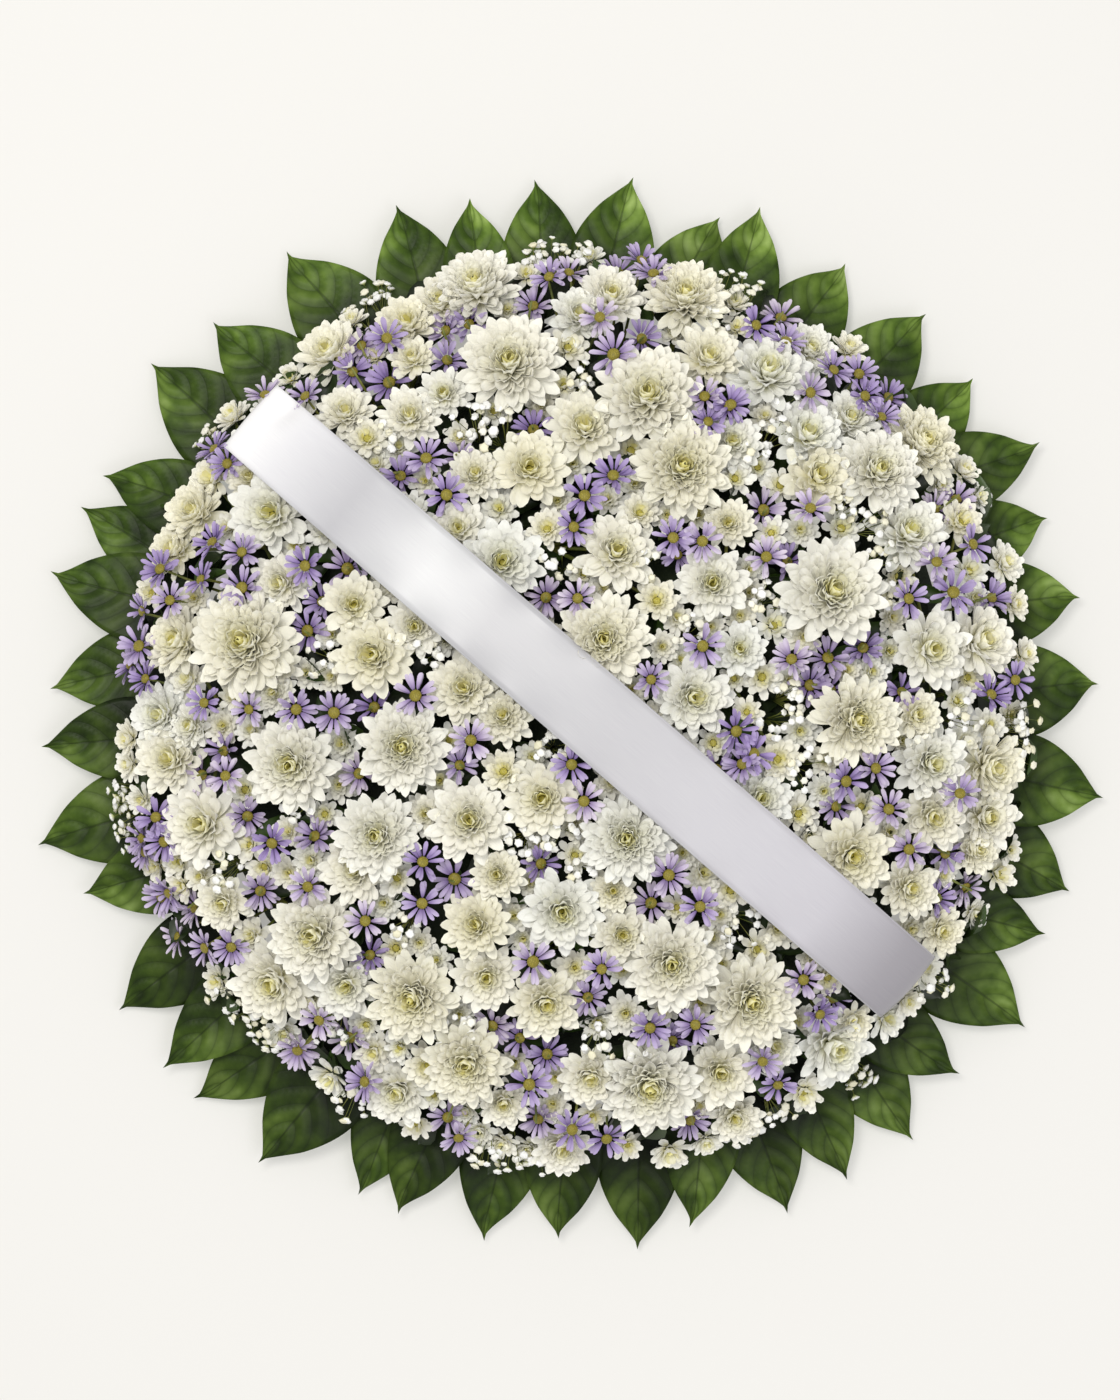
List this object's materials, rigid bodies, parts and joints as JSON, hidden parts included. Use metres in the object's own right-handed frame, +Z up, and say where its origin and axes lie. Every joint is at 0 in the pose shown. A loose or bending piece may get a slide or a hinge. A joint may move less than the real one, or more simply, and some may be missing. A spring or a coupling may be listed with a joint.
{
  "type": "memorial wreath",
  "caption": "Round memorial wreath lying on its back: a dome of white chrysanthemums and lavender daisies in a ring of pointed green leaves, crossed by a plain satin ribbon.",
  "frame": {"origin": "centre of the whole outline, on the underside of the backing disc", "axes": "+Z up out of the flowers, +Y towards the top of the wreath as it is looked at, +X to its right"},
  "size_m": [0.998, 1.003, 0.2136],
  "materials": {
    "disc_wood": "sawn plywood, unpainted",
    "floral_foam": "open-celled green floral foam, damp",
    "white_petals": "fresh cream-white petals, matt with a soft sheen",
    "lavender_petals": "fresh lavender petals, matt",
    "green_leaves": "leathery leaf, waxy satin",
    "satin_ribbon": "white satin, blank",
    "pin_wire": "drawn wire, bright"
  },
  "bodies": {
    "root": {"backing_disc": "disc_wood", "foam_dome": "floral_foam", "chrysanthemum_01": "white_petals", "chrysanthemum_02": "white_petals", "chrysanthemum_03": "white_petals", "chrysanthemum_04": "white_petals", "chrysanthemum_05": "white_petals", "chrysanthemum_06": "white_petals", "chrysanthemum_07": "white_petals", "chrysanthemum_08": "white_petals", "chrysanthemum_09": "white_petals", "chrysanthemum_10": "white_petals", "chrysanthemum_11": "white_petals", "chrysanthemum_12": "white_petals", "chrysanthemum_13": "white_petals", "chrysanthemum_14": "white_petals", "chrysanthemum_15": "white_petals", "chrysanthemum_16": "white_petals", "chrysanthemum_17": "white_petals", "chrysanthemum_18": "white_petals", "chrysanthemum_19": "white_petals", "chrysanthemum_20": "white_petals", "chrysanthemum_21": "white_petals", "spray_chrysanthemum_01": "white_petals", "spray_chrysanthemum_02": "white_petals", "spray_chrysanthemum_03": "white_petals", "spray_chrysanthemum_04": "white_petals", "spray_chrysanthemum_05": "white_petals", "spray_chrysanthemum_06": "white_petals", "spray_chrysanthemum_07": "white_petals", "spray_chrysanthemum_08": "white_petals", "spray_chrysanthemum_09": "white_petals", "spray_chrysanthemum_10": "white_petals", "spray_chrysanthemum_11": "white_petals", "spray_chrysanthemum_12": "white_petals", "spray_chrysanthemum_13": "white_petals", "spray_chrysanthemum_14": "white_petals", "spray_chrysanthemum_15": "white_petals", "daisy_spray_01": "lavender_petals", "daisy_spray_02": "lavender_petals", "daisy_spray_03": "lavender_petals", "daisy_spray_04": "lavender_petals", "daisy_spray_05": "lavender_petals", "daisy_spray_06": "lavender_petals", "leaf_sprig_01": "green_leaves", "leaf_sprig_02": "green_leaves", "leaf_sprig_03": "green_leaves", "leaf_sprig_04": "green_leaves", "leaf_sprig_05": "green_leaves", "leaf_sprig_06": "green_leaves", "leaf_sprig_07": "green_leaves", "leaf_sprig_08": "green_leaves", "leaf_sprig_09": "green_leaves", "leaf_sprig_10": "green_leaves", "leaf_sprig_11": "green_leaves", "leaf_sprig_12": "green_leaves", "leaf_sprig_13": "green_leaves", "ribbon": "satin_ribbon", "ribbon_pin_upper": "pin_wire", "ribbon_pin_lower": "pin_wire"}
  },
  "joints": []
}
